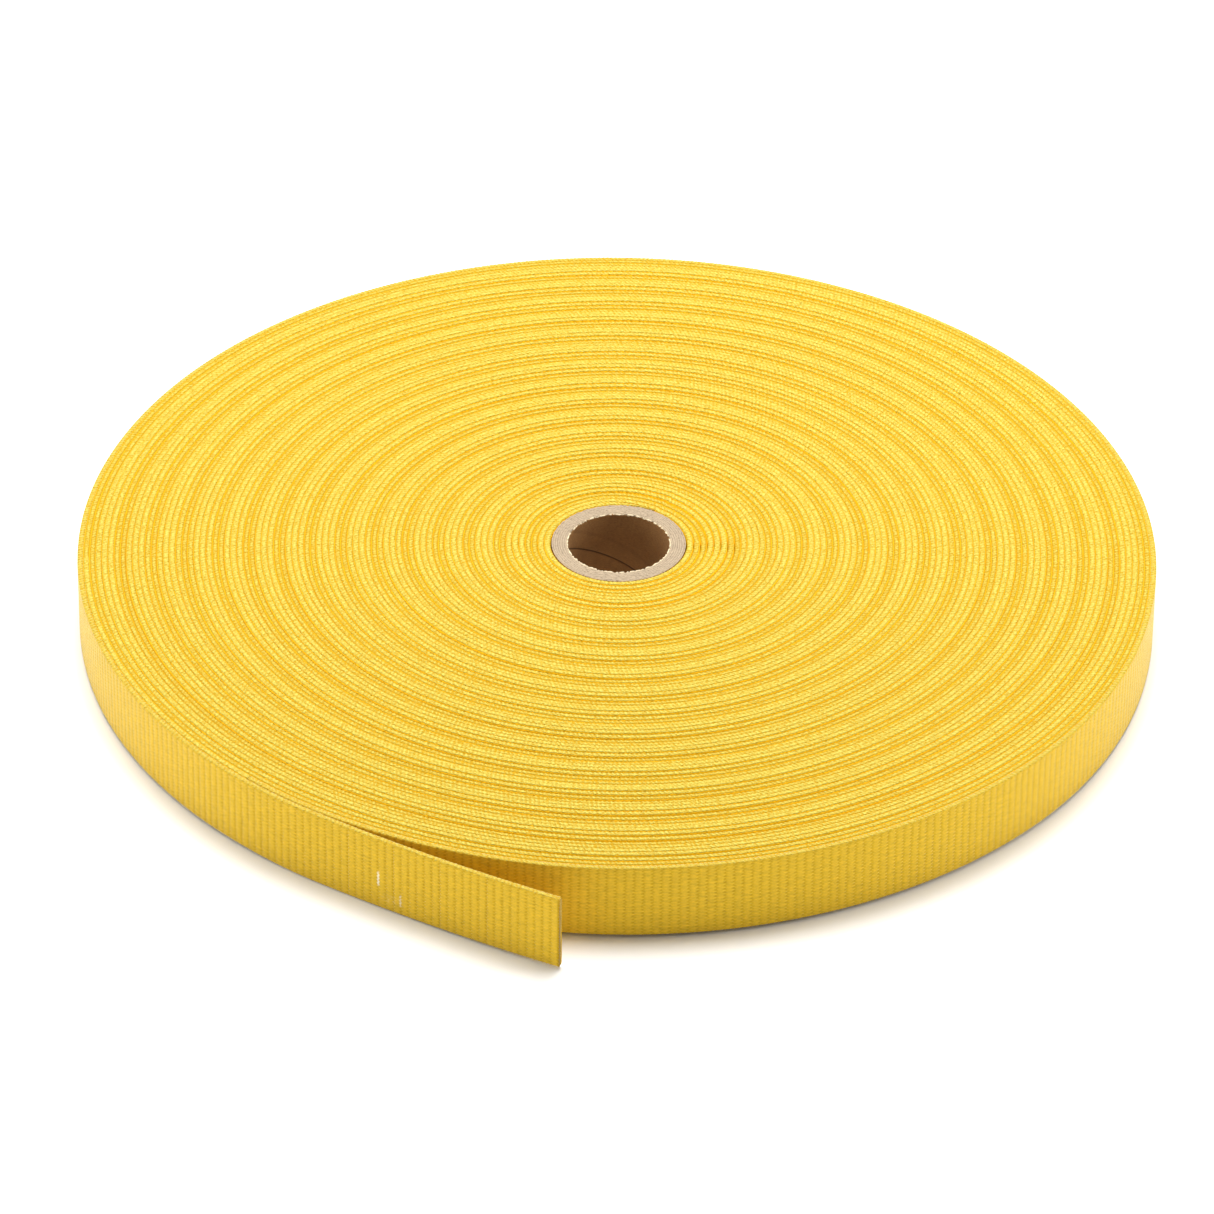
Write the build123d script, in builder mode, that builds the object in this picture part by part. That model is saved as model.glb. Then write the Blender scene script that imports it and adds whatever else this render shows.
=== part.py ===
"""A roll of flat ribbed webbing, wound edge-up on a spiral-wound paper core.

The roll lies on its side: the core's axis is +Z, and the origin is the centre of the core's
lower mouth, level with the surface that the roll rests on. The webbing is one strip, wound
anticlockwise from the core outwards. Its last stretch, the tail, has sprung off the roll. The
tail bends, so it is cut into sections that turn about upright axes.
"""

from build123d import *
import math
import os

os.makedirs("parts", exist_ok=True)

# Webbing, in millimetres
webbing_width = 25.0
webbing_thickness = 1.8
winding_gap = 0.105
half_turns = 153

# Paper core, from the bore outwards
bore_radius = 15.875
liner_thickness = 0.4
body_ply_thickness = 0.7
body_ply_count = 6
outer_ply_thickness = 0.5
core_proud = 0.9

# Adhesive strip that holds the webbing's inner end on the core
strip_thickness = 0.3
strip_width = 20.0
strip_length = 38.0

# Tail, measured along the webbing from where it leaves the roll
leave_angle = 237.2
tail_length = 86.2
tail_bend = 8.0
tail_fixed_length = 22.2
tail_section_count = 4
knuckle_clearance = 0.3

# Worked out from the values above
core_length = webbing_width + core_proud
core_wall = liner_thickness + body_ply_count * body_ply_thickness + outer_ply_thickness
core_radius = bore_radius + core_wall
turn_pitch = webbing_thickness + winding_gap
centre_offset = turn_pitch / 4
start_angle = leave_angle - 180 * half_turns
start_radius = core_radius + strip_thickness
leave_radius = start_radius + half_turns * turn_pitch / 2
tail_radius = tail_length / math.radians(tail_bend)
tail_section_length = (tail_length - tail_fixed_length) / tail_section_count
knuckle_radius = webbing_thickness / 2
socket_radius = knuckle_radius + knuckle_clearance


def polar(radius, angle):
    """The point at a radius and an angle, in degrees, about the core's axis."""
    return (radius * math.cos(math.radians(angle)), radius * math.sin(math.radians(angle)))


tail_centre = polar(leave_radius + webbing_thickness / 2 - tail_radius, leave_angle)


def tail_angle(along):
    """The direction from the tail's centre of curvature to a place along the tail."""
    return leave_angle + math.degrees(along / tail_radius)


def tail_point(along, outwards=0.0):
    """A point of the tail's middle surface, or one moved outwards from it."""
    x, y = polar(tail_radius + outwards, tail_angle(along))
    return (tail_centre[0] + x, tail_centre[1] + y)


def spiral_arcs(outwards):
    """The wound webbing's face, as half circles about two centres in turn.

    Each half circle is half a pitch larger than the one before it, and the two centres are
    half a pitch apart, so the half circles meet smoothly and the turns keep one pitch.
    """
    for half_turn in range(half_turns):
        side = -1 if half_turn % 2 == 0 else 1
        centre = polar(side * centre_offset, start_angle)
        radius = start_radius + centre_offset + half_turn * turn_pitch / 2 + outwards
        CenterArc(centre, radius, (start_angle + 180 * half_turn) % 360, 180)


def tail_arc(start, end, outwards):
    """One face of the tail between two places along it."""
    size = tail_angle(end) - tail_angle(start)
    CenterArc(tail_centre, tail_radius + outwards, tail_angle(start), size)


half_thickness = webbing_thickness / 2
hinge_places = [tail_fixed_length + n * tail_section_length for n in range(tail_section_count)]

# The core: concentric paper plies, glued face to face
ply_inner_radius = bore_radius
ply_list = [("core_liner", liner_thickness)]
ply_list += [(f"core_ply_{n + 1}", body_ply_thickness) for n in range(body_ply_count)]
ply_list += [("core_outer_ply", outer_ply_thickness)]
for ply_name, ply_thickness in ply_list:
    with BuildPart() as ply:
        with BuildSketch():
            Circle(ply_inner_radius + ply_thickness)
            Circle(ply_inner_radius, mode=Mode.SUBTRACT)
        extrude(amount=core_length)
    ply.part.label = ply_name
    export_step(ply.part, f"parts/{ply_name}.step")
    ply_inner_radius += ply_thickness

# The adhesive strip, bent round the core under the webbing's inner end
strip_angle = math.degrees(strip_length / core_radius)
with BuildPart() as start_strip:
    with BuildSketch(Plane.XY.offset((webbing_width - strip_width) / 2)):
        with BuildLine():
            near = CenterArc((0, 0), core_radius, start_angle % 360, strip_angle)
            far = CenterArc((0, 0), start_radius, start_angle % 360, strip_angle)
            Line(near @ 0, far @ 0)
            Line(near @ 1, far @ 1)
        make_face()
    extrude(amount=strip_width)
start_strip.part.label = "start_strip"
export_step(start_strip.part, "parts/start_strip.step")

# The wound webbing, with the fixed start of the tail
with BuildPart() as webbing_coil:
    with BuildSketch():
        with BuildLine():
            spiral_arcs(0)
            spiral_arcs(webbing_thickness)
            tail_arc(0, tail_fixed_length, -half_thickness)
            tail_arc(0, tail_fixed_length, half_thickness)
            Line(polar(start_radius, start_angle), polar(start_radius + webbing_thickness, start_angle))
            Line(
                tail_point(tail_fixed_length, -half_thickness),
                tail_point(tail_fixed_length, half_thickness),
            )
        make_face()
        with Locations(tail_point(hinge_places[0])):
            Circle(socket_radius, mode=Mode.SUBTRACT)
    extrude(amount=webbing_width)
webbing_coil.part.label = "webbing_coil"
export_step(webbing_coil.part, "parts/webbing_coil.step")

# The tail's sections: each has a round end on its own axis and a socket for the next one
for number, hinge_place in enumerate(hinge_places):
    section_end = hinge_place + tail_section_length
    with BuildPart() as tail_section:
        with BuildSketch():
            with BuildLine():
                tail_arc(hinge_place, section_end, -half_thickness)
                tail_arc(hinge_place, section_end, half_thickness)
                for end in (hinge_place, section_end):
                    Line(tail_point(end, -half_thickness), tail_point(end, half_thickness))
            make_face()
            with Locations(tail_point(hinge_place)):
                Circle(knuckle_radius)
            if number + 1 < tail_section_count:
                with Locations(tail_point(section_end)):
                    Circle(socket_radius, mode=Mode.SUBTRACT)
        extrude(amount=webbing_width)
    tail_section.part.label = f"tail_section_{number + 1}"
    export_step(tail_section.part, f"parts/tail_section_{number + 1}.step")

wound_length = math.pi * half_turns * (start_radius + leave_radius + webbing_thickness) / 2
print(f"wound length {wound_length / 1000:.2f} m, with the tail {(wound_length + tail_length) / 1000:.2f} m")
print(f"core radius {core_radius:.3f}, wound radius {leave_radius + webbing_thickness:.2f}")
for hinge_place in hinge_places:
    print("tail axis at", [round(value, 4) for value in tail_point(hinge_place)])
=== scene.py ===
"""A roll of flat ribbed webbing on a spiral-wound paper core, lying on its side on a pale floor."""

import math

import bmesh
import bpy
import numpy as np
from bpy.props import FloatProperty, FloatVectorProperty, IntProperty, PointerProperty
from mathutils import Matrix, Vector


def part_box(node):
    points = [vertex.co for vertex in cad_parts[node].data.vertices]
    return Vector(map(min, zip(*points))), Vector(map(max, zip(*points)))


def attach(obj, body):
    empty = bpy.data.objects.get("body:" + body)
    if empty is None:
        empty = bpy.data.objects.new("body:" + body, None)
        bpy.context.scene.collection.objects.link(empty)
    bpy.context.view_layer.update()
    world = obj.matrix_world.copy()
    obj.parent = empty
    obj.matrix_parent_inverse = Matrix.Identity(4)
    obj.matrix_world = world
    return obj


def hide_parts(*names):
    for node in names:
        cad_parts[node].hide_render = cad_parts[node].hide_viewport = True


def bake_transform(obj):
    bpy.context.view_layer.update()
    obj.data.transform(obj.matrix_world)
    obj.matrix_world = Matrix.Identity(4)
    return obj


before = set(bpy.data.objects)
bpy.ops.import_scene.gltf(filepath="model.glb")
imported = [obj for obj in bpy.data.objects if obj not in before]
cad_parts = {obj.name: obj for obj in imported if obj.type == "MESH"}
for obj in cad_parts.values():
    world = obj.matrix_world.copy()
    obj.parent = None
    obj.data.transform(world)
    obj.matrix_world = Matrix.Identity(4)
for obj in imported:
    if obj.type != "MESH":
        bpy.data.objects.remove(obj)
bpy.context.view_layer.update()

bl_info = {
    "name": "Webbing roll",
    "version": (1, 0, 0),
    "blender": (4, 5, 0),
    "location": "View3D > Sidebar > Webbing roll",
    "description": "Builds a roll of ribbed webbing, its tail and its paper core",
    "category": "Add Mesh",
}

COIL_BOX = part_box("webbing_coil")
CORE_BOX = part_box("core_liner")
MM = 0.001
FULL_TURN = 2 * math.pi

# The winding, as the frame has it: half circles about two centres in turn, in metres and degrees
HALF_TURNS = 153
LEAVE_ANGLE = 237.2
TAIL_LENGTH = 86.2 * MM
TAIL_BEND = 8.0
FIRST_HINGE = 22.2 * MM
SECTION_LENGTH = 16.0 * MM
SECTION_COUNT = 4
WEBBING_WIDTH = COIL_BOX[1].z
WEBBING_THICKNESS = 1.8 * MM
TURN_PITCH = 1.905 * MM
CORE_BORE = 15.875 * MM
CORE_RADIUS = 20.975 * MM
STRIP_THICKNESS = 0.3 * MM
START_RADIUS = CORE_RADIUS + STRIP_THICKNESS
START_ANGLE = LEAVE_ANGLE - 180 * HALF_TURNS
LEAVE_RADIUS = START_RADIUS + HALF_TURNS * TURN_PITCH / 2
TAIL_RADIUS = TAIL_LENGTH / math.radians(TAIL_BEND)
ROLL_RADIUS = LEAVE_RADIUS + WEBBING_THICKNESS

# How the strip is cut into pieces: ribs from the first hinge, and distances from where the tail leaves
RIBS_PER_SECTION = 6
OUTER_TURN_RIBS = 411
WOUND_PIECES = 6
OUTER_START = FIRST_HINGE - OUTER_TURN_RIBS * SECTION_LENGTH / RIBS_PER_SECTION
OUTER_MIDDLE = -0.52
TAIL_START = FIRST_HINGE - SECTION_LENGTH / 2
BEND_REACH = 6.5 * MM

# The strip's inner end thickens over a share of its first turn, and the first turns hug the core
TAPER = 0.13
HUG_TURNS = 7

# Slack beyond the tail: outwards and up, how deep in the roll, and where it opens and closes, in degrees
SLACK_OUT = 1.8 * MM
SLACK_UP = 0.4 * MM
SLACK_DEPTH = 34 * MM
SLACK_START, SLACK_OPENING = -118, 30
SLACK_END, SLACK_CLOSING = -4, 38

# The gap under the outer turns' foot, how deep in it reaches, and how far the tail's tip is moved
FOOT_GAP = 0.7 * MM
FOOT_DEPTH = 8 * MM
TAIL_RISE = 0.9 * MM
TAIL_OUT = 1.3 * MM

# The dome's highest place and how far in it falls, as shares of the roll's radius
DOME_PLACE = 0.38
DOME_INSIDE = 0.26

# The bands of turns, the rim that they leave out, and the small differences from turn to turn
BAND_START = math.radians(100)
RIM_WIDTH = 3.0 * MM
UNEVEN_RISE = 0.10 * MM
UNEVEN_SHIFT = 0.035 * MM

# Where the weave's selvedges begin, and the liner's seam: its depth in the bore at one angle
SELVEDGE = 0.3 * MM
SEAM_DEPTH = 7.1 * MM
SEAM_ANGLE = math.radians(155)

WINDING_SEED = 11
PAPER_SEED = 23


# ---------------------------------------------------------------- settings


class WebbingSettings(bpy.types.PropertyGroup):
    rib_pitch: FloatProperty(
        name="Rib pitch", description="Distance from one rib to the next along the webbing",
        default=SECTION_LENGTH / RIBS_PER_SECTION, min=0.001, max=0.01, unit="LENGTH")
    groove_depth: FloatProperty(
        name="Groove depth", description="How far the grooves between the ribs go in",
        default=0.06 * MM, min=0.0, max=0.001, unit="LENGTH")
    yarn_pitch: FloatProperty(
        name="Yarn pitch", description="Distance between the warp yarns across the width",
        default=0.6 * MM, min=0.0002, max=0.005, unit="LENGTH")
    bead_height: FloatProperty(
        name="Bead height", description="How far the weft loops stand up from the selvedges",
        default=0.18 * MM, min=0.0, max=0.001, unit="LENGTH")
    band_height: FloatProperty(
        name="Band height", description="How far the turns rise and fall in bands across the roll",
        default=0.36 * MM, min=0.0, max=0.005, unit="LENGTH")
    band_turns: FloatProperty(
        name="Band turns", description="How many turns one band of rise and fall takes",
        default=5.15, min=1.0, max=50.0)
    dome_height: FloatProperty(
        name="Dome height", description="How far the roll's top face bulges between core and rim",
        default=1.3 * MM, min=0.0, max=0.01, unit="LENGTH")
    rib_colour: FloatVectorProperty(
        name="Ribs", description="Colour of the ribs on the webbing's faces",
        default=(0.705, 0.455, 0.025), size=3, min=0.0, max=1.0, subtype="COLOR")
    # The grooves' darker colour is painted shade in the grooves between the ribs.
    groove_shade_colour: FloatVectorProperty(
        name="Grooves", description="Colour in the grooves between the ribs",
        default=(0.56, 0.33, 0.006), size=3, min=0.0, max=1.0, subtype="COLOR")
    # The loops' pale colour also serves as painted highlight on the crowns of the selvedges.
    loop_and_highlight_colour: FloatVectorProperty(
        name="Selvedge loops", description="Colour of the weft loops along the selvedges",
        default=(0.560, 0.475, 0.086), size=3, min=0.0, max=1.0, subtype="COLOR")
    # The colour between the loops also serves as painted shade beside the crowns and on turns that lie
    # low, and darkens the tail's cut end.
    gap_and_shade_colour: FloatVectorProperty(
        name="Between the loops", description="Colour between the weft loops",
        default=(0.495, 0.280, 0.003), size=3, min=0.0, max=1.0, subtype="COLOR")
    # Painted glow: the faces deep between the turns get a brighter, deeper orange than the ribs, standing
    # in for light shining through and bouncing between the turns.
    between_turns_glow_colour: FloatVectorProperty(
        name="Between the turns", description="Colour of the wound webbing's faces, deep between turns",
        default=(0.88, 0.48, 0.004), size=3, min=0.0, max=1.0, subtype="COLOR")
    mark_colour: FloatVectorProperty(
        name="Scuffs", description="Colour of the two scuffed nicks in the tail",
        default=(0.93, 0.86, 0.62), size=3, min=0.0, max=1.0, subtype="COLOR")


class CoreSettings(bpy.types.PropertyGroup):
    edge_roughness: FloatProperty(
        name="Edge roughness", description="How far the cut ends of the paper plies are uneven",
        default=0.20 * MM, min=0.0, max=0.002, unit="LENGTH")
    seam_lead: FloatProperty(
        name="Seam lead", description="How far the liner's spiral seam climbs in one turn",
        default=59.0 * MM, min=0.01, max=0.5, unit="LENGTH")
    steps: IntProperty(
        name="Steps", description="Number of steps round each paper ply", default=240, min=24, max=720)
    board_colour: FloatVectorProperty(
        name="Board", description="Colour of the grey-brown plies",
        default=(0.40, 0.31, 0.21), size=3, min=0.0, max=1.0, subtype="COLOR")
    liner_colour: FloatVectorProperty(
        name="Liner edge", description="Colour of the liner's cut edge",
        default=(0.74, 0.62, 0.41), size=3, min=0.0, max=1.0, subtype="COLOR")
    # The outermost ply's outer face is painted dark brown as shadow in the gap between the core and the
    # webbing.
    wrap_shadow_colour: FloatVectorProperty(
        name="Wrap", description="Colour of the outermost ply's outer face",
        default=(0.17, 0.085, 0.04), size=3, min=0.0, max=1.0, subtype="COLOR")
    bore_colour: FloatVectorProperty(
        name="Bore", description="Colour of the liner's face in the bore",
        default=(0.29, 0.145, 0.046), size=3, min=0.0, max=1.0, subtype="COLOR")


class StageSettings(bpy.types.PropertyGroup):
    camera_distance: FloatProperty(
        name="Camera distance", description="Distance from the camera to the roll's centre",
        default=2.3900, min=0.5, max=20.0, unit="LENGTH")
    camera_elevation: FloatProperty(
        name="Camera elevation", description="Angle of the view above the floor",
        default=math.radians(34.96), subtype="ANGLE")
    camera_roll: FloatProperty(
        name="Camera roll", description="Tilt of the camera about its line of sight",
        default=math.radians(-0.653), subtype="ANGLE")
    camera_sideways: FloatProperty(
        name="Camera sideways", description="How far the camera and its aim are shifted to the right",
        default=-3.42 * MM, min=-1.0, max=1.0, unit="LENGTH")
    camera_upward: FloatProperty(
        name="Camera upward", description="How far the camera and its aim are shifted up",
        default=1.12 * MM, min=-1.0, max=1.0, unit="LENGTH")
    lens: FloatProperty(
        name="Lens", description="Focal length in millimetres on a 36 mm sensor",
        default=225.76, min=10.0, max=1000.0)
    world_strength: FloatProperty(
        name="Room light", description="Strength of the even light from all round",
        default=0.18, min=0.0, max=10.0)
    top_power: FloatProperty(
        name="Overhead softbox", description="Power of the softbox over the roll",
        default=46.0, min=0.0, max=1000.0, unit="POWER")
    side_power: FloatProperty(
        name="Side softboxes", description="Power of each softbox beside the roll",
        default=14.0, min=0.0, max=1000.0, unit="POWER")
    front_power: FloatProperty(
        name="Front softbox", description="Power of the low softbox behind the camera",
        default=8.0, min=0.0, max=1000.0, unit="POWER")


# ---------------------------------------------------------------- shader maths


class Value:
    """An output of a node. The arithmetic operators add Math nodes."""

    def __init__(self, paint, socket):
        self.paint, self.socket = paint, socket

    def math(self, operation, *rest, clamp=False):
        settings = {"operation": operation, "use_clamp": clamp}
        return self.paint.node("ShaderNodeMath", settings, dict(enumerate((self, *rest))))

    def __add__(self, other):
        return self.math("ADD", other)

    def __sub__(self, other):
        return self.math("SUBTRACT", other)

    def __rsub__(self, other):
        return self.paint.node("ShaderNodeMath", {"operation": "SUBTRACT"}, {0: other, 1: self})

    def __mul__(self, other):
        return self.math("MULTIPLY", other)

    def __truediv__(self, other):
        return self.math("DIVIDE", other)

    def __pow__(self, other):
        return self.math("POWER", other)

    __radd__ = __add__
    __rmul__ = __mul__

    def fraction(self):
        return self.math("FRACT")

    def size(self):
        return self.math("ABSOLUTE")

    def wave(self):
        """1 at whole numbers and 0 halfway between them."""
        return (self * FULL_TURN).math("COSINE") * 0.5 + 0.5

    def least(self, other):
        return self.math("MINIMUM", other)

    def most(self, other):
        return self.math("MAXIMUM", other)

    def rise(self, low, high):
        """0 below low, 1 above high, smooth between them; falls instead if low is above high."""
        return self.paint.node(
            "ShaderNodeMapRange", {"interpolation_type": "SMOOTHSTEP"},
            {"Value": self, "From Min": low, "From Max": high})

    def near(self, centre, half_width, soft):
        """1 within half_width of centre, and 0 further than soft beyond that."""
        return (self - centre).size().rise(half_width + soft, half_width)


class Paint:
    """A material under construction."""

    def __init__(self, name):
        self.material = bpy.data.materials.new(name)
        self.material.use_nodes = True
        self.tree = self.material.node_tree
        self.tree.nodes.clear()

    def node(self, kind, settings=None, inputs=None, output=0):
        """Adds a node, with its settings first and then its sockets, and returns one output."""
        made = self.tree.nodes.new(kind)
        for key, value in (settings or {}).items():
            setattr(made, key, value)
        sockets = {socket.identifier: socket for socket in made.inputs}
        for key, value in (inputs or {}).items():
            socket = sockets.get(key) or made.inputs[key]
            if isinstance(value, Value):
                self.tree.links.new(value.socket, socket)
            elif isinstance(value, (tuple, list)) and len(value) == 3 and socket.type == "RGBA":
                socket.default_value = (*value, 1.0)
            else:
                socket.default_value = value
        if not made.outputs:
            return None
        outputs = {socket.identifier: socket for socket in made.outputs}
        return Value(self, outputs[output] if isinstance(output, str) else made.outputs[output])

    def mix(self, first, second, factor):
        """A colour between two colours."""
        return self.node(
            "ShaderNodeMix", {"data_type": "RGBA"},
            {"Factor_Float": factor, "A_Color": first, "B_Color": second}, "Result_Color")

    def shade(self, colour, amount):
        """A colour made lighter or darker by an amount that varies."""
        grey = self.node("ShaderNodeCombineColor", None, {0: amount, 1: amount, 2: amount})
        return self.node(
            "ShaderNodeMix", {"data_type": "RGBA", "blend_type": "MULTIPLY"},
            {"Factor_Float": 1.0, "A_Color": colour, "B_Color": grey}, "Result_Color")

    def vector(self, x, y, z=0.0):
        return self.node("ShaderNodeCombineXYZ", None, {0: x, 1: y, 2: z})

    def noise(self, vector, scale, detail=2.0, roughness=0.5):
        return self.node(
            "ShaderNodeTexNoise", {"noise_dimensions": "3D"},
            {"Vector": vector, "Scale": scale, "Detail": detail, "Roughness": roughness}, "Fac")

    def split(self, vector):
        """The three numbers of a vector."""
        made = self.node("ShaderNodeSeparateXYZ", None, {0: vector}).socket.node
        return [Value(self, socket) for socket in made.outputs]

    def finish(self, colour, roughness, height, depth, **constants):
        """Ends the material with a Principled shader; the height drives a Bump node."""
        bump = self.node("ShaderNodeBump", None, {"Height": height, "Distance": depth, "Strength": 1.0})
        inputs = {"Base Color": colour, "Roughness": roughness, "Normal": bump}
        inputs.update({key.replace("_", " "): value for key, value in constants.items()})
        shader = self.node("ShaderNodeBsdfPrincipled", None, inputs)
        self.node("ShaderNodeOutputMaterial", None, {"Surface": shader})
        return self.material


def webbing_material(settings, wound=False):
    """Ribbed woven webbing, painted along its own strip map: u along it, v round its edge, in metres.

    Between wound turns only the selvedges show, and the faces there are painted a brighter, deeper
    orange, as glow from light shining through and bouncing between the turns.
    """
    name = "Yellow wound webbing with painted light" if wound else "Yellow ribbed webbing with painted shade"
    if name in bpy.data.materials:
        return bpy.data.materials[name]
    paint = Paint(name)
    strip = paint.node("ShaderNodeUVMap", {"uv_map": "strip"})
    along, around, _ = paint.split(strip)
    halfway_round = WEBBING_WIDTH + WEBBING_THICKNESS
    side = (around / halfway_round).fraction() * halfway_round
    on_edge = side.rise(WEBBING_WIDTH - 0.15 * MM, WEBBING_WIDTH + 0.1 * MM)
    on_edge = on_edge.most(side.rise(0.25 * MM, 0.05 * MM))

    # The faces: broad ribs with soft narrow grooves, whose edges step from yarn to yarn; the grooves are
    # painted darker in dashes, as shade in them
    row = around / settings.yarn_pitch
    tooth = ((row / 2).fraction() - 0.5).size() * 4 - 1
    fray = paint.noise(paint.vector(along * 900, around * 1700), 1.0, 1.0)
    rib = along / settings.rib_pitch + tooth * 0.18 + (fray - 0.5) * 0.26
    to_groove = (rib.fraction() - 0.5).size() * 2
    groove = to_groove.rise(0.42, 0.98)
    yarn = row.wave()
    dash = (row / 2).wave()
    weft = (around / (settings.yarn_pitch / 2) + along / settings.rib_pitch).wave()
    # Between the turns the faces take the painted glow colour.
    if wound:
        face = tuple(settings.between_turns_glow_colour)
    else:
        face = paint.mix(
            tuple(settings.rib_colour), tuple(settings.groove_shade_colour), groove * (dash * 0.70 + 0.22))

    # The selvedge colour carries the loops, a painted highlight on the crown, and painted shade beside it
    # and on turns that lie low.
    loops_and_shade = selvedge_loops_and_shade(paint, along, around, side, fray, settings)
    if not wound:
        loops_and_shade = loops_and_shade * 0.75
    loops_and_shade = loops_and_shade.math("ADD", 0.0, clamp=True)
    edge = paint.mix(tuple(settings.gap_and_shade_colour), tuple(settings.loop_and_highlight_colour), loops_and_shade)

    # Yarn flecks and slow changes in the dye, and on the selvedges more of the loops' painted highlight
    # and shade
    colour = paint.mix(face, edge, on_edge)
    fleck = paint.noise(paint.vector(along * 1100, around * 1500), 1.0, 2.0, 0.6)
    slow = paint.noise(paint.vector(along * 9, around * 60), 1.0, 2.0)
    thread = paint.noise(paint.vector(along * 260, around * 1150), 1.0, 1.0)
    face_light = (yarn * 0.10 + thread * 0.38) * (1 - on_edge)
    edge_light = (loops_and_shade * 0.08 + 0.19) * on_edge
    colour = paint.shade(colour, 0.56 + fleck * 0.40 + face_light + edge_light + slow * 0.05)

    roughness = 0.62 + groove * 0.12 + fleck * 0.12
    face_height = (1 - groove) * 0.5 + weft * 0.16 + yarn * 0.14
    height = face_height * (1 - on_edge) + loops_and_shade * on_edge * 1.6 + fleck * 0.2
    sheen, sheen_roughness, sheen_tint = 0.12, 0.4, (0.6, 0.9, 0.1)
    if not wound:
        colour = scuffed_tail(paint, colour, along, around, fray, settings)
        sheen, sheen_roughness, sheen_tint = 0.65, 0.3, (0.9, 1.0, 0.8)
    return paint.finish(
        colour, roughness, height, 0.16 * MM, Specular_IOR_Level=0.15,
        Sheen_Weight=sheen, Sheen_Roughness=sheen_roughness, Sheen_Tint=sheen_tint)


def selvedge_loops_and_shade(paint, along, around, side, fray, settings):
    """Slanting weft loops, with a pale painted highlight on the crown and golden painted shade beside it
    and where a turn lies low.
    """
    sunk, _, _ = paint.split(paint.node("ShaderNodeUVMap", {"uv_map": "lie"}))
    lies_low = sunk.rise(0.45, 0.95)
    across = (side - WEBBING_WIDTH) / WEBBING_THICKNESS
    crown = 1 - ((across - 0.5).size() * 2) ** 2.0
    loop = (along / (settings.rib_pitch / 2) + across * 0.7 + (fray - 0.5) * 0.9).wave()
    lumps = paint.noise(paint.vector(along * 950, around * 950), 1.0, 2.0, 0.6)
    # Painted shade: darker beside the crown, and darker still on turns that lie low in their band.
    painted_low_shade = (1 - crown) * (lies_low * 0.6 + 0.25) + lies_low * 0.16
    return loop * 0.42 + (lumps - 0.5) * 2.6 + 0.46 - painted_low_shade


def scuffed_tail(paint, colour, along, around, fray, settings):
    """Two scuffed nicks in the tail's outer face, a faint smear between them, and a darker cut end."""
    nick = along.near(2.6 * MM, 0.12 * MM, 0.45 * MM) * around.near(10.5 * MM, 1.6 * MM, 1.6 * MM)
    second = along.near(10.3 * MM, 0.14 * MM, 0.3 * MM) * around.near(5.2 * MM, 1.4 * MM, 1.2 * MM)
    smear = along.near(7.5 * MM, 2.6 * MM, 2.0 * MM) * around.near(4.4 * MM, 0.7 * MM, 1.6 * MM)
    torn = fray.rise(0.34, 0.56)
    marks = nick * (torn * 0.4 + 0.5) + second * (torn * 0.45 + 0.1)
    marks = marks + smear * fray.rise(0.45, 0.7) * 0.12
    colour = paint.mix(colour, tuple(settings.mark_colour), marks.least(1.0))
    cut_end = TAIL_LENGTH - FIRST_HINGE
    cut = along.rise(cut_end - 0.9 * MM, cut_end - 0.2 * MM)
    return paint.mix(colour, tuple(settings.gap_and_shade_colour), cut * 0.8)


def seam_start(settings):
    """How high the liner's seam would be at the angle zero."""
    return CORE_BOX[1].z - SEAM_DEPTH - SEAM_ANGLE * settings.seam_lead / FULL_TURN


def paper_material(name, cut_colour, face_or_shadow_colour, settings, seam=False):
    """Grey-brown board: a fibrous cut end, and a smoother face in the bore or on the outside, whose
    colour on the outermost ply is painted shadow.
    """
    if name in bpy.data.materials:
        return bpy.data.materials[name]
    paint = Paint(name)
    place = paint.node("ShaderNodeTexCoord", None, None, "Object")
    x, y, z = paint.split(place)
    radius = (x * x + y * y).math("SQRT")
    angle = y.math("ARCTAN2", x)
    top = CORE_BOX[1].z
    fibre = paint.noise(paint.vector(x, y, z * 2.2), 1300.0, 3.0, 0.65)
    ragged = z + (paint.noise(place, 900.0, 1.0) - 0.5) * 1.2 * MM
    end = ragged.rise(top - 0.5 * MM, top - 0.3 * MM).most(ragged.rise(0.5 * MM, 0.3 * MM))
    layers = paint.noise(paint.vector(radius * 9000, angle * 14, z * 300), 1.0, 2.0, 0.6)
    blotch = paint.noise(place, 210.0, 2.0)
    fleck = paint.noise(place, 2600.0, 1.0).rise(0.66, 0.74)
    colour = paint.mix(face_or_shadow_colour, cut_colour, end)
    light = 0.41 + fibre * 0.84 + layers * end * 0.16 + blotch * 0.18
    colour = paint.shade(colour, light - fleck * 0.18)
    height = fibre * 0.6 + layers * 0.4
    if seam:
        # The spiral seam, and the faint lines of the next layer's edges beside it
        climb = z - angle * (settings.seam_lead / FULL_TURN)
        turn = (climb - seam_start(settings)) / settings.seam_lead + 0.5
        off = (turn.fraction() - 0.5).size() * settings.seam_lead
        line = off.rise(0.42 * MM, 0.12 * MM) * (1 - end)
        ghost = (off - 6.5 * MM).size().rise(0.9 * MM, 0.3 * MM) * (1 - end)
        colour = paint.shade(colour, 1 - line * 0.62 - ghost * 0.10)
        height = height - line * 0.9
    return paint.finish(colour, 0.82 + fibre * 0.1, height, 0.12 * MM, Specular_IOR_Level=0.25)


# ---------------------------------------------------------------- where the strip lies


def soft_waves(values, seed, lengths, count=4):
    """A smooth, seeded wander between about -1 and 1, made of waves of several lengths."""
    random = np.random.default_rng(seed)
    total = np.zeros_like(values)
    for length in random.uniform(lengths[0], lengths[1], count):
        total += np.sin(values * FULL_TURN / length + random.uniform(0, FULL_TURN))
    return total / count


def wound_lengths():
    """The distance along the strip's middle at the end of each half turn."""
    radii = START_RADIUS + TURN_PITCH / 4 + np.arange(HALF_TURNS) * TURN_PITCH / 2
    return np.concatenate([[0.0], np.cumsum(math.pi * (radii + WEBBING_THICKNESS / 2))])


WOUND = wound_lengths()


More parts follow.
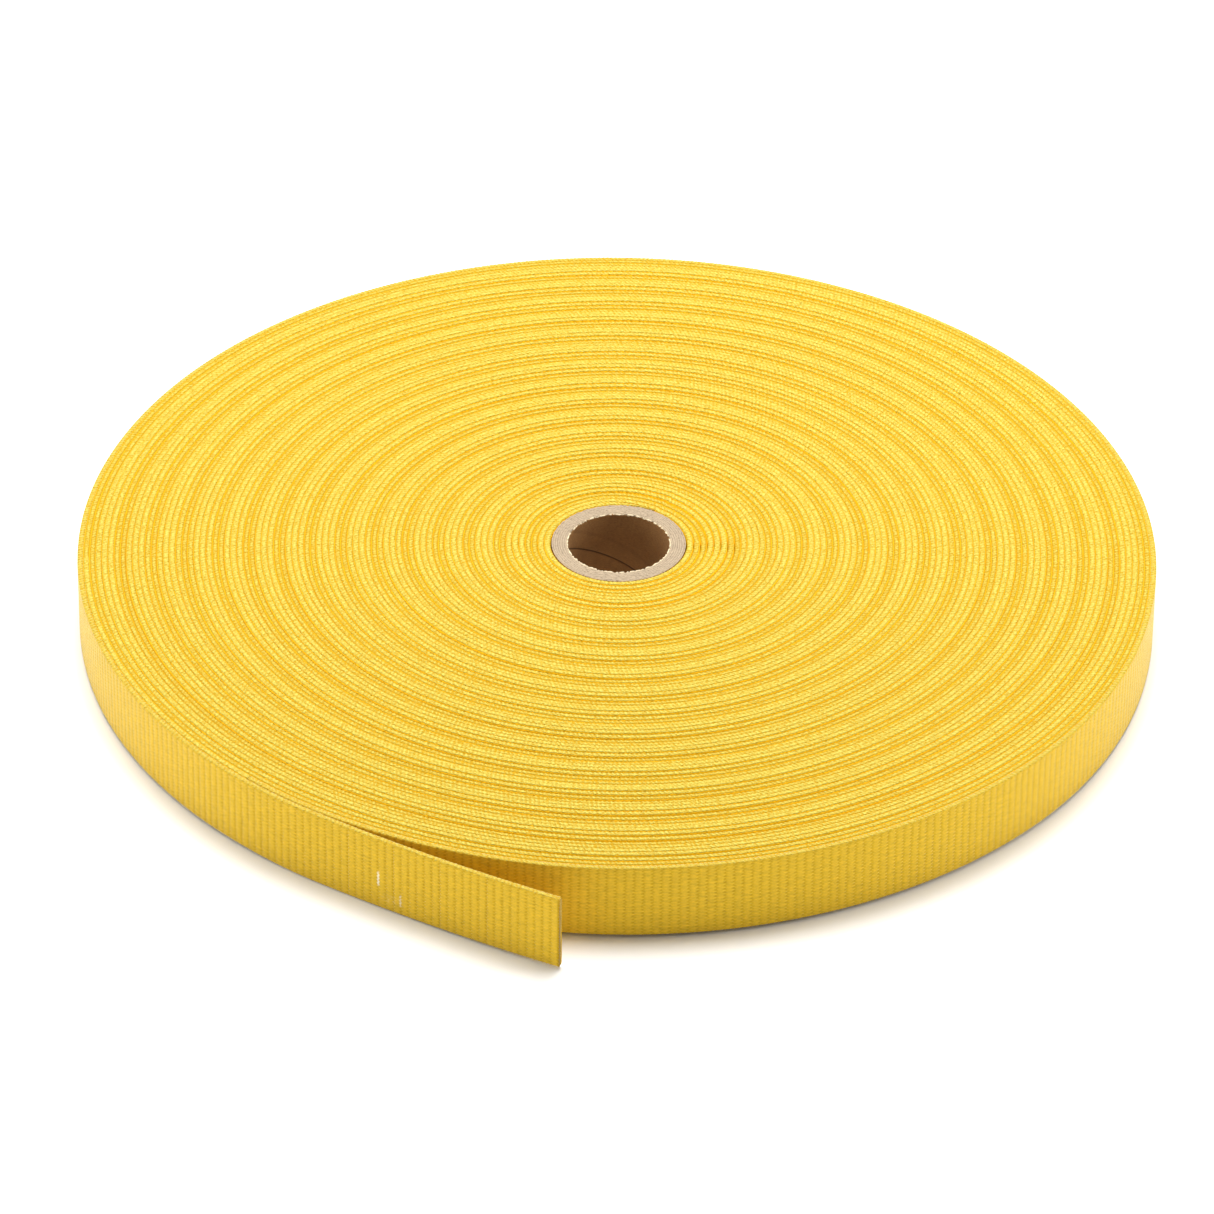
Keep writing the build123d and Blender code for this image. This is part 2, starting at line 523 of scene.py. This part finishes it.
def strip_point(along, outwards):
    """x and y of places on the strip: along it from where the tail leaves, out from its inner face."""
    wound = np.clip(along + WOUND[-1], 0.0, WOUND[-1])
    half = np.clip(np.searchsorted(WOUND, wound, side="right") - 1, 0, HALF_TURNS - 1)
    radius = START_RADIUS + TURN_PITCH / 4 + half * TURN_PITCH / 2
    turned = (wound - WOUND[half]) / (radius + WEBBING_THICKNESS / 2)
    start = math.radians(START_ANGLE)
    angle = start + math.pi * half + turned
    side = np.where(half % 2 == 0, -1.0, 1.0) * TURN_PITCH / 4
    x = side * math.cos(start) + (radius + outwards) * np.cos(angle)
    y = side * math.sin(start) + (radius + outwards) * np.sin(angle)
    leave = math.radians(LEAVE_ANGLE)
    to_centre = LEAVE_RADIUS + WEBBING_THICKNESS / 2 - TAIL_RADIUS
    tail_angle = leave + along / TAIL_RADIUS
    reach = TAIL_RADIUS - WEBBING_THICKNESS / 2 + outwards
    on_tail = along > 0
    x = np.where(on_tail, to_centre * math.cos(leave) + reach * np.cos(tail_angle), x)
    y = np.where(on_tail, to_centre * math.sin(leave) + reach * np.sin(tail_angle), y)
    return x, y


def strip_place(along, outwards, height):
    """A point on the strip as a Vector."""
    x, y = strip_point(np.array([along]), np.array([outwards]))
    return Vector((float(x[0]), float(y[0]), height))


def band_wave(radius, settings):
    """1 where the turns lie highest in their band, and -1 where they lie lowest."""
    return np.cos(FULL_TURN * radius / (settings.band_turns * TURN_PITCH) - BAND_START)


def slack_share(x, y, radius):
    """How far the outer turns have slackened, 0 to 1: they stand off beyond where the tail leaves."""
    angle = np.degrees(np.arctan2(y, x))
    opening = np.clip((angle - SLACK_START) / SLACK_OPENING, 0.0, 1.0)
    closing = np.clip((SLACK_END - angle) / SLACK_CLOSING, 0.0, 1.0)
    place = np.minimum(opening, closing)
    depth = np.clip(1 - (ROLL_RADIUS - radius) / SLACK_DEPTH, 0.0, 1.0)
    return place * place * (3 - 2 * place) * depth


def turn_lift(along, settings):
    """How far each place on the strip has crept up: bands, a dome, and small seeded differences."""
    x, y = strip_point(along, WEBBING_THICKNESS / 2)
    radius = np.hypot(x, y)
    share = radius / ROLL_RADIUS
    outside = np.where(share > DOME_PLACE, (share - DOME_PLACE) / (1 - DOME_PLACE), 0.0)
    inside = np.where(share < DOME_PLACE, (DOME_PLACE - share) / DOME_INSIDE, 0.0)
    dome = settings.dome_height * (1 - outside**2) * (1 - 0.5 * inside**1.5)
    band = settings.band_height * band_wave(radius, settings)
    turns = (radius - START_RADIUS) / TURN_PITCH
    uneven = UNEVEN_RISE * soft_waves(turns, WINDING_SEED, (1.7, 4.2))
    slow = UNEVEN_RISE * soft_waves(along, WINDING_SEED + 1, (0.25, 0.6))
    settle = np.clip((ROLL_RADIUS - RIM_WIDTH - radius) / (5.0 * MM), 0.0, 1.0)
    start = np.clip((radius - START_RADIUS) / (3.0 * MM), 0.3, 1.0)
    lift = dome + (band * start + uneven + slow) * settle
    tail_rise = TAIL_RISE * np.clip(along / TAIL_LENGTH, 0.0, 1.0) ** 2
    return np.where(along > 0, tail_rise, lift)


def taper(part):
    """How thick the strip is, as a share, at a part of its first turn: its inner end is pressed thin."""
    share = np.clip(part / TAPER, 0.0, 1.0)
    return 0.1 + 0.9 * share * share * (3 - 2 * share)


def turn_shift(along):
    """How far each place on the strip is shifted outwards.

    There is a little wander, so that the gaps between turns vary, and a pull inwards that makes
    the first turns hug the core and the strip's own inner end. The outer turns are slack beyond
    where the tail leaves, and the tail opens a little further towards its tip.
    """
    shift = UNEVEN_SHIFT * soft_waves(along, WINDING_SEED + 2, (0.05, 0.31), 5)
    x, y = strip_point(along, WEBBING_THICKNESS / 2)
    turned = (np.hypot(x, y) - START_RADIUS - WEBBING_THICKNESS / 2) / TURN_PITCH
    part = np.mod((np.degrees(np.arctan2(y, x)) - START_ANGLE) / 360, 1.0)
    over_end = np.where(along + WOUND[-1] > WOUND[2] - 1 * MM, 1 - taper(part), 0.0)
    hug = TURN_PITCH * (part + over_end) * np.clip(1.0 - (turned - part) / HUG_TURNS, 0.0, 1.0)
    slack = SLACK_OUT * slack_share(x, y, np.hypot(x, y))
    tail_out = TAIL_OUT * np.clip(along / TAIL_LENGTH, 0.0, 1.0) ** 2
    return (shift - hug + slack) * np.clip(-along / (20 * MM), 0.0, 1.0) + tail_out


def strip_height(along, height, settings):
    """How high places on the strip stand once it has crept up, slackened and risen off its foot."""
    x, y = strip_point(along, WEBBING_THICKNESS / 2)
    radius = np.hypot(x, y)
    lift = turn_lift(along, settings)
    rising = np.clip(height / WEBBING_WIDTH, 0.0, 1.0)
    stand = SLACK_UP * slack_share(x, y, radius) * (along < 0)
    edge_share = np.clip(1 - (ROLL_RADIUS - radius) / FOOT_DEPTH, 0.0, 1.0)
    foot_gap = FOOT_GAP * edge_share * np.clip(-along / (30 * MM), 0.0, 1.0)
    foot_lift = foot_gap + stand + np.where(along > 0, lift, 0.0)
    z = height + (lift + stand) * rising + foot_lift * (1 - rising)
    return np.maximum(z, 0.0)


def write_maps(mesh, along, around, settings):
    """Writes the strip map, along and round the strip, and the lie map, with how low its turns lie; the
    material paints shade on the turns that lie low.
    """
    radius = np.hypot(*strip_point(along, WEBBING_THICKNESS / 2))
    sunk = 0.5 - 0.5 * band_wave(radius, settings) * (radius < ROLL_RADIUS - RIM_WIDTH)
    corner_vertex = np.empty(len(mesh.loops), dtype=np.int32)
    mesh.loops.foreach_get("vertex_index", corner_vertex)
    maps = {"strip": (along - FIRST_HINGE, around), "lie": (sunk, radius / ROLL_RADIUS)}
    for name, numbers in maps.items():
        mesh.uv_layers[name].data.foreach_set("uv", np.column_stack(numbers)[corner_vertex].ravel())


def strip_mesh(name, stations, outline, shape, material, settings):
    """A closed length of strip.

    The outline's rows are outwards, height and distance round the edge, and shape moves the points.
    """
    steps, corners = len(stations) - 1, len(outline)
    bm = bmesh.new()
    bm.loops.layers.uv.new("strip")
    bm.loops.layers.uv.new("lie")
    bmesh.ops.create_grid(bm, x_segments=steps, y_segments=corners, size=1.0, calc_uvs=True)
    mesh = bpy.data.meshes.new(name)
    bm.to_mesh(mesh)
    bm.free()
    grid = np.empty(len(mesh.vertices) * 3)
    mesh.vertices.foreach_get("co", grid)
    grid = grid.reshape(-1, 3)
    row = np.rint((grid[:, 0] + 1) / 2 * steps).astype(int)
    column = np.rint((grid[:, 1] + 1) / 2 * corners).astype(int)
    out, height, around = outline[column % corners].T
    along = stations[row]
    along_moved, out, height = shape(along, out, height, around)
    first_turn = np.clip((along + WOUND[-1]) / WOUND[2], 0.0, 1.0)
    out = out * taper(first_turn)
    around = np.where(column == corners, around + 2 * (WEBBING_WIDTH + WEBBING_THICKNESS), around)
    x, y = strip_point(along_moved, out + turn_shift(along))
    z = strip_height(along, height, settings)
    mesh.vertices.foreach_set("co", np.column_stack([x, y, z]).ravel())
    write_maps(mesh, along, around, settings)

    bm = bmesh.new()
    bm.from_mesh(mesh)
    bmesh.ops.remove_doubles(bm, verts=bm.verts, dist=1e-7)
    open_edges = [edge for edge in bm.edges if edge.is_boundary]
    bmesh.ops.holes_fill(bm, edges=open_edges, sides=0)
    bmesh.ops.recalc_face_normals(bm, faces=bm.faces)
    for face in bm.faces:
        face.smooth = len(face.verts) == 4
    bm.to_mesh(mesh)
    bm.free()
    mesh.materials.append(material)
    piece = bpy.data.objects.new(name, mesh)
    bpy.context.scene.collection.objects.link(piece)
    return piece


def plain_outline():
    """The wound strip's outline, from the outer face's foot, up, over and down the inner face."""
    width, thick = WEBBING_WIDTH, WEBBING_THICKNESS
    low, shoulder = 0.2 * MM, 0.05 * MM
    outer = thick + 0.11 * MM
    rows = [
        (outer, low, low),
        (outer, width - low, width - low),
        (thick * 0.80, width - shoulder, width + thick * 0.2),
        (thick * 0.50, width, width + thick * 0.5),
        (thick * 0.20, width - shoulder, width + thick * 0.8),
        (0.0, width - low, width + thick + low),
        (0.0, low, 2 * width + thick - low),
        (thick * 0.5, 0.0, 2 * width + thick * 1.5),
    ]
    return np.array(rows)


def woven_outline(rows_outside, rows_inside):
    """The outer strip's outline, with many rows up its faces and two rows of loops on each selvedge."""
    width, thick = WEBBING_WIDTH, WEBBING_THICKNESS
    rows = [(thick, z, z) for z in np.linspace(SELVEDGE, width - SELVEDGE, rows_outside)]
    selvedge = [(0.93, 0.12), (0.74, 0.02), (0.50, 0.06), (0.26, 0.02), (0.07, 0.12)]
    rows += [(thick * o, width - d * MM, width + thick * (1 - o)) for o, d in selvedge]
    inside = np.linspace(width - SELVEDGE, SELVEDGE, rows_inside)
    rows += [(0.0, z, 2 * width + thick - z) for z in inside]
    rows += [(thick * o, d * MM, 2 * width + thick * (1 + o)) for o, d in reversed(selvedge)]
    return np.array(rows)


def loop_shape(settings):
    """Moves the selvedge points of the wound strip up and down, as slanting weft loops."""
    half_loop = settings.rib_pitch / 4

    def shape(along, out, height, around):
        phase = np.cos(math.pi * (along - FIRST_HINGE) / half_loop)
        lean = np.clip((out / WEBBING_THICKNESS - 0.5) / 0.3, -1.0, 1.0)
        on_top = height > WEBBING_WIDTH - SELVEDGE
        hollow = 0.35 * (np.abs(lean) < 0.5)
        rise = settings.bead_height * 0.5 * (phase * lean - hollow)
        return along, out, height + rise * on_top

    return shape


def rib_shape(settings, inner_ribs):
    """Presses the grooves into the faces, jogging from yarn to yarn, and raises the selvedge loops."""
    pitch = settings.rib_pitch

    def shape(along, out, height, around):
        wide, thick = WEBBING_WIDTH, WEBBING_THICKNESS
        inner_start, inner_end = wide + thick + SELVEDGE, 2 * wide + thick - SELVEDGE
        outer_face = (around > SELVEDGE) & (around < wide - SELVEDGE)
        inner_face = (around > inner_start) & (around < inner_end)
        ribbed_inner_face = inner_face & inner_ribs
        rib = (along - FIRST_HINGE) / pitch
        to_groove = np.clip(np.abs(rib - np.rint(rib)) * 2 / 0.7, 0.0, 1.0)
        depth = settings.groove_depth * (0.5 + 0.5 * np.cos(math.pi * to_groove))
        row = np.rint(height / settings.yarn_pitch).astype(int)
        zigzag = np.where(row % 2 == 0, 1.0, -1.0) * 0.05 * pitch
        moved = along + np.where(outer_face | ribbed_inner_face, zigzag, 0.0)
        out = out - depth * outer_face + depth * ribbed_inner_face
        place = out / thick
        outer_loop, inner_loop = np.cos(FULL_TURN * rib * 2 + 0.5), -np.cos(FULL_TURN * rib * 2 - 0.5)
        in_outer_row, in_inner_row = np.abs(place - 0.74) < 0.15, np.abs(place - 0.26) < 0.15
        loops = np.where(in_outer_row, outer_loop, 0) + np.where(in_inner_row, inner_loop, 0)
        on_top, below = height > wide - SELVEDGE, height < SELVEDGE
        rise = settings.bead_height * (loops * 0.8 - 0.3 * (on_top | below))
        height = height + rise * on_top - rise * below
        selvedge_edge = (on_top | below) & ~(outer_face | inner_face)
        bulge = np.where(place > 0.8, outer_loop, 0) - np.where(place < 0.2, inner_loop, 0)
        return moved, out + bulge * 0.10 * MM * selvedge_edge, height

    return shape


def rib_stations(start, end, settings):
    """Places along the strip where its ribs and loops need points, from one groove to another."""
    pitch = settings.rib_pitch
    first, last = round((start - FIRST_HINGE) / pitch), round((end - FIRST_HINGE) / pitch)
    within = np.array([0.0, 0.09, 0.2, 0.35, 0.5, 0.65, 0.8, 0.91])
    ribs = np.arange(first, last)[:, None] + within
    return FIRST_HINGE + np.append(ribs.ravel(), last) * pitch


def cast_piece(piece, body, *nodes, slot="webbing"):
    """Says what a finished piece rides on and stands for; its slot is not used."""
    if body:
        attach(piece, body)
    if nodes:
        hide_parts(*nodes)


# ---------------------------------------------------------------- operators


class ROLL_OT_stage(bpy.types.Operator):
    """Add the floor, the lights and the camera"""

    bl_idname = "webbing_roll.stage"
    bl_label = "Stage"

    def execute(self, context):
        settings = context.scene.roll_stage
        scene = context.scene
        scene.view_settings.view_transform = "Standard"
        self.add_camera(scene, settings)
        self.add_floor(scene)
        world = bpy.data.worlds.new("Room")
        world.use_nodes = True
        background = world.node_tree.nodes["Background"]
        background.inputs["Color"].default_value = (1.0, 0.965, 0.91, 1.0)
        background.inputs["Strength"].default_value = settings.world_strength
        scene.world = world
        softboxes = (
            ("Overhead", (0.0, 0.5, 1.5), 1.2, settings.top_power),
            ("Left", (-1.5, 0.2, 0.5), 0.9, settings.side_power),
            ("Right", (1.5, 0.2, 0.5), 0.9, settings.side_power),
            ("Front", (0.0, -2.6, 0.45), 1.0, settings.front_power),
        )
        for name, place, size, power in softboxes:
            self.add_light(scene, name, place, size, power)
        return {"FINISHED"}

    def add_camera(self, scene, settings):
        elevation, roll = settings.camera_elevation, settings.camera_roll
        back = Vector((0, -math.cos(elevation), math.sin(elevation)))
        right = Vector((1, 0, 0))
        up = Vector((0, math.sin(elevation), math.cos(elevation)))
        turned_right = right * math.cos(roll) - up * math.sin(roll)
        turned_up = right * math.sin(roll) + up * math.cos(roll)
        data = bpy.data.cameras.new("Camera")
        data.lens, data.sensor_width = settings.lens, 36.0
        data.clip_start, data.clip_end = 0.05, 50.0
        camera = bpy.data.objects.new("Camera", data)
        scene.collection.objects.link(camera)
        turn = Matrix((turned_right, turned_up, back)).transposed().to_4x4()
        place = back * settings.camera_distance
        place += right * settings.camera_sideways + up * settings.camera_upward
        camera.matrix_world = Matrix.Translation(place) @ turn
        scene.camera = camera

    def add_floor(self, scene):
        paint = Paint("Pale floor")
        place = paint.node("ShaderNodeTexCoord", None, None, "Object")
        grain = paint.noise(place, 120.0, 2.0)
        colour = paint.shade((0.985, 0.98, 0.97), 0.99 + grain * 0.01)
        material = paint.finish(colour, 0.8 + grain * 0.1, grain, 0.01 * MM, Specular_IOR_Level=0.1)
        bm = bmesh.new()
        bmesh.ops.create_grid(bm, x_segments=8, y_segments=8, size=6.0)
        mesh = bpy.data.meshes.new("Floor")
        bm.to_mesh(mesh)
        bm.free()
        mesh.materials.append(material)
        floor = bpy.data.objects.new("Floor", mesh)
        scene.collection.objects.link(floor)

    def add_light(self, scene, name, place, size, power):
        data = bpy.data.lights.new(name, "AREA")
        data.shape, data.size, data.energy = "SQUARE", size, power
        light = bpy.data.objects.new(name, data)
        light.location = place
        aim = Vector((0, 0, 0.01)) - Vector(place)
        light.rotation_euler = aim.to_track_quat("-Z", "Y").to_euler()
        scene.collection.objects.link(light)


class ROLL_OT_wound_turns(bpy.types.Operator):
    """Add the wound turns, all but the outermost, as lengths of one strip"""

    bl_idname = "webbing_roll.wound_turns"
    bl_label = "Wound turns"

    def execute(self, context):
        settings = context.scene.roll_webbing
        material = webbing_material(settings, wound=True)
        step = settings.rib_pitch / 4
        first = math.ceil((-WOUND[-1] - FIRST_HINGE) / step)
        last = round((OUTER_START - FIRST_HINGE) / step)
        cuts = np.linspace(first, last, WOUND_PIECES + 1).round().astype(int)
        for number, (start, end) in enumerate(zip(cuts[:-1], cuts[1:]), 1):
            stations = FIRST_HINGE + np.arange(start, end + 1) * step
            piece = strip_mesh(
                f"webbing_turns_{number}", stations, plain_outline(), loop_shape(settings),
                material, settings)
            cast_piece(piece, "roll", "webbing_coil")
        return {"FINISHED"}


class ROLL_OT_outer_turn(bpy.types.Operator):
    """Add the outermost turn, with the ribs of its weave"""

    bl_idname = "webbing_roll.outer_turn"
    bl_label = "Outer turn"

    def execute(self, context):
        settings = context.scene.roll_webbing
        material = webbing_material(settings)
        middle = rib_stations(OUTER_START, OUTER_MIDDLE, settings)[-1]
        for number, (start, end) in enumerate(((OUTER_START, middle), (middle, TAIL_START)), 1):
            piece = strip_mesh(
                f"webbing_outer_turn_{number}", rib_stations(start, end, settings), woven_outline(41, 3),
                rib_shape(settings, False), material, settings)
            cast_piece(piece, "roll", "webbing_coil")
        return {"FINISHED"}


class ROLL_OT_tail(bpy.types.Operator):
    """Add the tail's lengths, each spanning one hinge"""

    bl_idname = "webbing_roll.tail"
    bl_label = "Tail"

    def execute(self, context):
        settings = context.scene.roll_webbing
        material = webbing_material(settings)
        for number in range(1, SECTION_COUNT + 1):
            hinge = FIRST_HINGE + (number - 1) * SECTION_LENGTH
            start = hinge - SECTION_LENGTH / 2
            end = hinge + SECTION_LENGTH / 2 if number < SECTION_COUNT else TAIL_LENGTH
            piece = strip_mesh(
                f"webbing_tail_{number}", rib_stations(start, end, settings), woven_outline(41, 41),
                rib_shape(settings, True), material, settings)
            nodes = [f"tail_section_{number}"] + (["webbing_coil"] if number == 1 else [])
            cast_piece(piece, None, *nodes)
            strip_place(hinge - BEND_REACH, WEBBING_THICKNESS / 2, 0.0)
            strip_place(hinge + BEND_REACH, WEBBING_THICKNESS / 2, 0.0)
            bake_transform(piece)
        return {"FINISHED"}


class ROLL_OT_core(bpy.types.Operator):
    """Add the paper core's plies, one inside the other"""

    bl_idname = "webbing_roll.core"
    bl_label = "Paper core"

    def execute(self, context):
        settings = context.scene.roll_core
        board = tuple(settings.board_colour)
        cut = paper_material("Core board", board, tuple(c * 0.9 for c in board), settings)
        liner = paper_material(
            "Core liner paper", tuple(settings.liner_colour), tuple(settings.bore_colour), settings,
            seam=True)
        # The outermost ply's outer face is painted dark brown as shadow in the gap between the core and
        # the webbing.
        shadowed_wrap = paper_material("Core outer paper painted shadow", board, tuple(settings.wrap_shadow_colour), settings)
        plies = ["core_liner"] + [f"core_ply_{n}" for n in range(1, 7)] + ["core_outer_ply"]
        inner = CORE_BORE
        for number, node in enumerate(plies):
            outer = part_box(node)[1].x
            material, slot = cut, "core_paper"
            if node == "core_liner":
                material, slot = liner, "core_liner_paper"
            elif node == "core_outer_ply":
                material = shadowed_wrap
            piece = self.paper_tube(f"{node}_paper", inner, outer, number, material, settings)
            cast_piece(piece, "roll", node, slot=slot)
            inner = outer
        return {"FINISHED"}

    def paper_tube(self, name, inner, outer, number, material, settings):
        """A tube spun from its wall's outline, with torn ends; ply number 0 is the liner."""
        length = CORE_BOX[1].z
        levels = 60 if number == 0 else 6
        lip, fall = 0.06 * MM, 0.25 * MM
        bm = bmesh.new()
        wall = [(inner, z) for z in np.linspace(fall, length - fall, levels)]
        wall += [(inner + lip, length), ((inner + outer) / 2, length), (outer - lip, length)]
        wall += [(outer, z) for z in np.linspace(length - fall, fall, 4)]
        wall += [(outer - lip, 0.0), ((inner + outer) / 2, 0.0), (inner + lip, 0.0)]
        ring = [bm.verts.new((x, 0, z)) for x, z in wall]
        edges = [bm.edges.new((a, b)) for a, b in zip(ring, ring[1:] + ring[:1])]
        bmesh.ops.spin(
            bm, geom=ring + edges, cent=(0, 0, 0), axis=(0, 0, 1), angle=FULL_TURN,
            steps=settings.steps, use_merge=True)
        bmesh.ops.remove_doubles(bm, verts=bm.verts, dist=1e-7)
        bmesh.ops.recalc_face_normals(bm, faces=bm.faces)
        for face in bm.faces:
            face.smooth = True
        mesh = bpy.data.meshes.new(name)
        bm.to_mesh(mesh)
        bm.free()
        self.tear_ends(mesh, inner, number, settings)
        mesh.materials.append(material)
        piece = bpy.data.objects.new(name, mesh)
        bpy.context.scene.collection.objects.link(piece)
        return piece

    def tear_ends(self, mesh, inner, number, settings):
        """Tears a tube's ends a little, most at the bore, and gives the liner its seam and ragged lip."""
        length, torn_depth = CORE_BOX[1].z, 1.2 * MM
        co = np.empty(len(mesh.vertices) * 3)
        mesh.vertices.foreach_get("co", co)
        co = co.reshape(-1, 3)
        radius, angle = np.hypot(co[:, 0], co[:, 1]), np.arctan2(co[:, 1], co[:, 0])
        near_top = np.clip((co[:, 2] - length + torn_depth) / torn_depth, 0.0, 1.0)
        near_foot = np.clip((torn_depth - co[:, 2]) / torn_depth, 0.0, 1.0)
        fine = self.ring_wander(angle, PAPER_SEED + number, 40)
        other = self.ring_wander(angle, PAPER_SEED + 50, 40)
        drop = settings.edge_roughness * (0.55 + 0.45 * fine)
        far_side = np.clip(np.sin(angle) * 1.4 + 0.4, 0.15, 1.0)
        torn = 0.8 * MM * np.clip(other, 0.0, 1.3) * far_side
        torn += 0.8 * MM * np.exp(-(((angle - SEAM_ANGLE) / 0.06) ** 2))
        drop += torn * np.clip(1 - (radius - CORE_BORE) / torn_depth, 0.0, 1.0)
        co[:, 2] -= near_top * drop
        co[:, 2] += near_foot * settings.edge_roughness * np.maximum(0.55 + 0.45 * other, 0.0)
        if number == 0:
            climb = co[:, 2] - angle * settings.seam_lead / FULL_TURN
            turn = (climb - seam_start(settings)) / settings.seam_lead
            off = np.abs(turn - np.rint(turn)) * settings.seam_lead
            in_bore = (radius < inner + 0.01 * MM) & (near_top < 1.0)
            groove = 0.2 * MM * np.clip(1 - off / (0.6 * MM), 0.0, 1.0) * in_bore
            on_lip = near_top * (radius < inner + 0.1 * MM)
            ragged = 0.26 * MM * np.clip(fine + other, -0.3, 2.0) * on_lip
            radius_moved = radius + groove + ragged
            co[:, 0], co[:, 1] = radius_moved * np.cos(angle), radius_moved * np.sin(angle)
        mesh.vertices.foreach_set("co", co.ravel())
        mesh.update()

    def ring_wander(self, angle, seed, count):
        """A seeded wander round a ring, which meets itself after a full turn."""
        random = np.random.default_rng(seed)
        total = np.zeros_like(angle)
        for waves in random.integers(12, 120, count):
            total += np.sin(angle * waves + random.uniform(0, FULL_TURN))
        return total / math.sqrt(count)


class ROLL_OT_start_strip(bpy.types.Operator):
    """Give the adhesive strip under the webbing's inner end its paper finish"""

    bl_idname = "webbing_roll.start_strip"
    bl_label = "Start strip"

    def execute(self, context):
        settings = context.scene.roll_core
        colour = tuple(settings.liner_colour)
        material = paper_material("Strip paper", colour, colour, settings)
        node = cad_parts["start_strip"]
        node.data.materials.clear()
        node.data.materials.append(material)
        return {"FINISHED"}


class ROLL_PT_panel(bpy.types.Panel):
    """Lists the roll's sizes, colours and operators"""

    bl_idname = "ROLL_PT_panel"
    bl_label = "Webbing roll"
    bl_space_type = "VIEW_3D"
    bl_region_type = "UI"
    bl_category = "Webbing roll"

    def draw(self, context):
        for operator in OPERATORS:
            self.layout.operator(operator.bl_idname)
        for group in (context.scene.roll_webbing, context.scene.roll_core, context.scene.roll_stage):
            box = self.layout.box()
            for name in group.__annotations__:
                box.prop(group, name)


SETTINGS = {"roll_webbing": WebbingSettings, "roll_core": CoreSettings, "roll_stage": StageSettings}
OPERATORS = (
    ROLL_OT_stage, ROLL_OT_core, ROLL_OT_start_strip,
    ROLL_OT_wound_turns, ROLL_OT_outer_turn, ROLL_OT_tail,
)
CLASSES = (*SETTINGS.values(), *OPERATORS, ROLL_PT_panel)


def register():
    for cls in CLASSES:
        bpy.utils.register_class(cls)
    for name, cls in SETTINGS.items():
        setattr(bpy.types.Scene, name, PointerProperty(type=cls))


def unregister():
    for name in SETTINGS:
        delattr(bpy.types.Scene, name)
    for cls in reversed(CLASSES):
        bpy.utils.unregister_class(cls)


def main():
    register()
    bpy.ops.webbing_roll.stage()
    bpy.ops.webbing_roll.core()
    bpy.ops.webbing_roll.start_strip()
    bpy.ops.webbing_roll.wound_turns()
    bpy.ops.webbing_roll.outer_turn()
    bpy.ops.webbing_roll.tail()


if __name__ == "__main__":
    main()
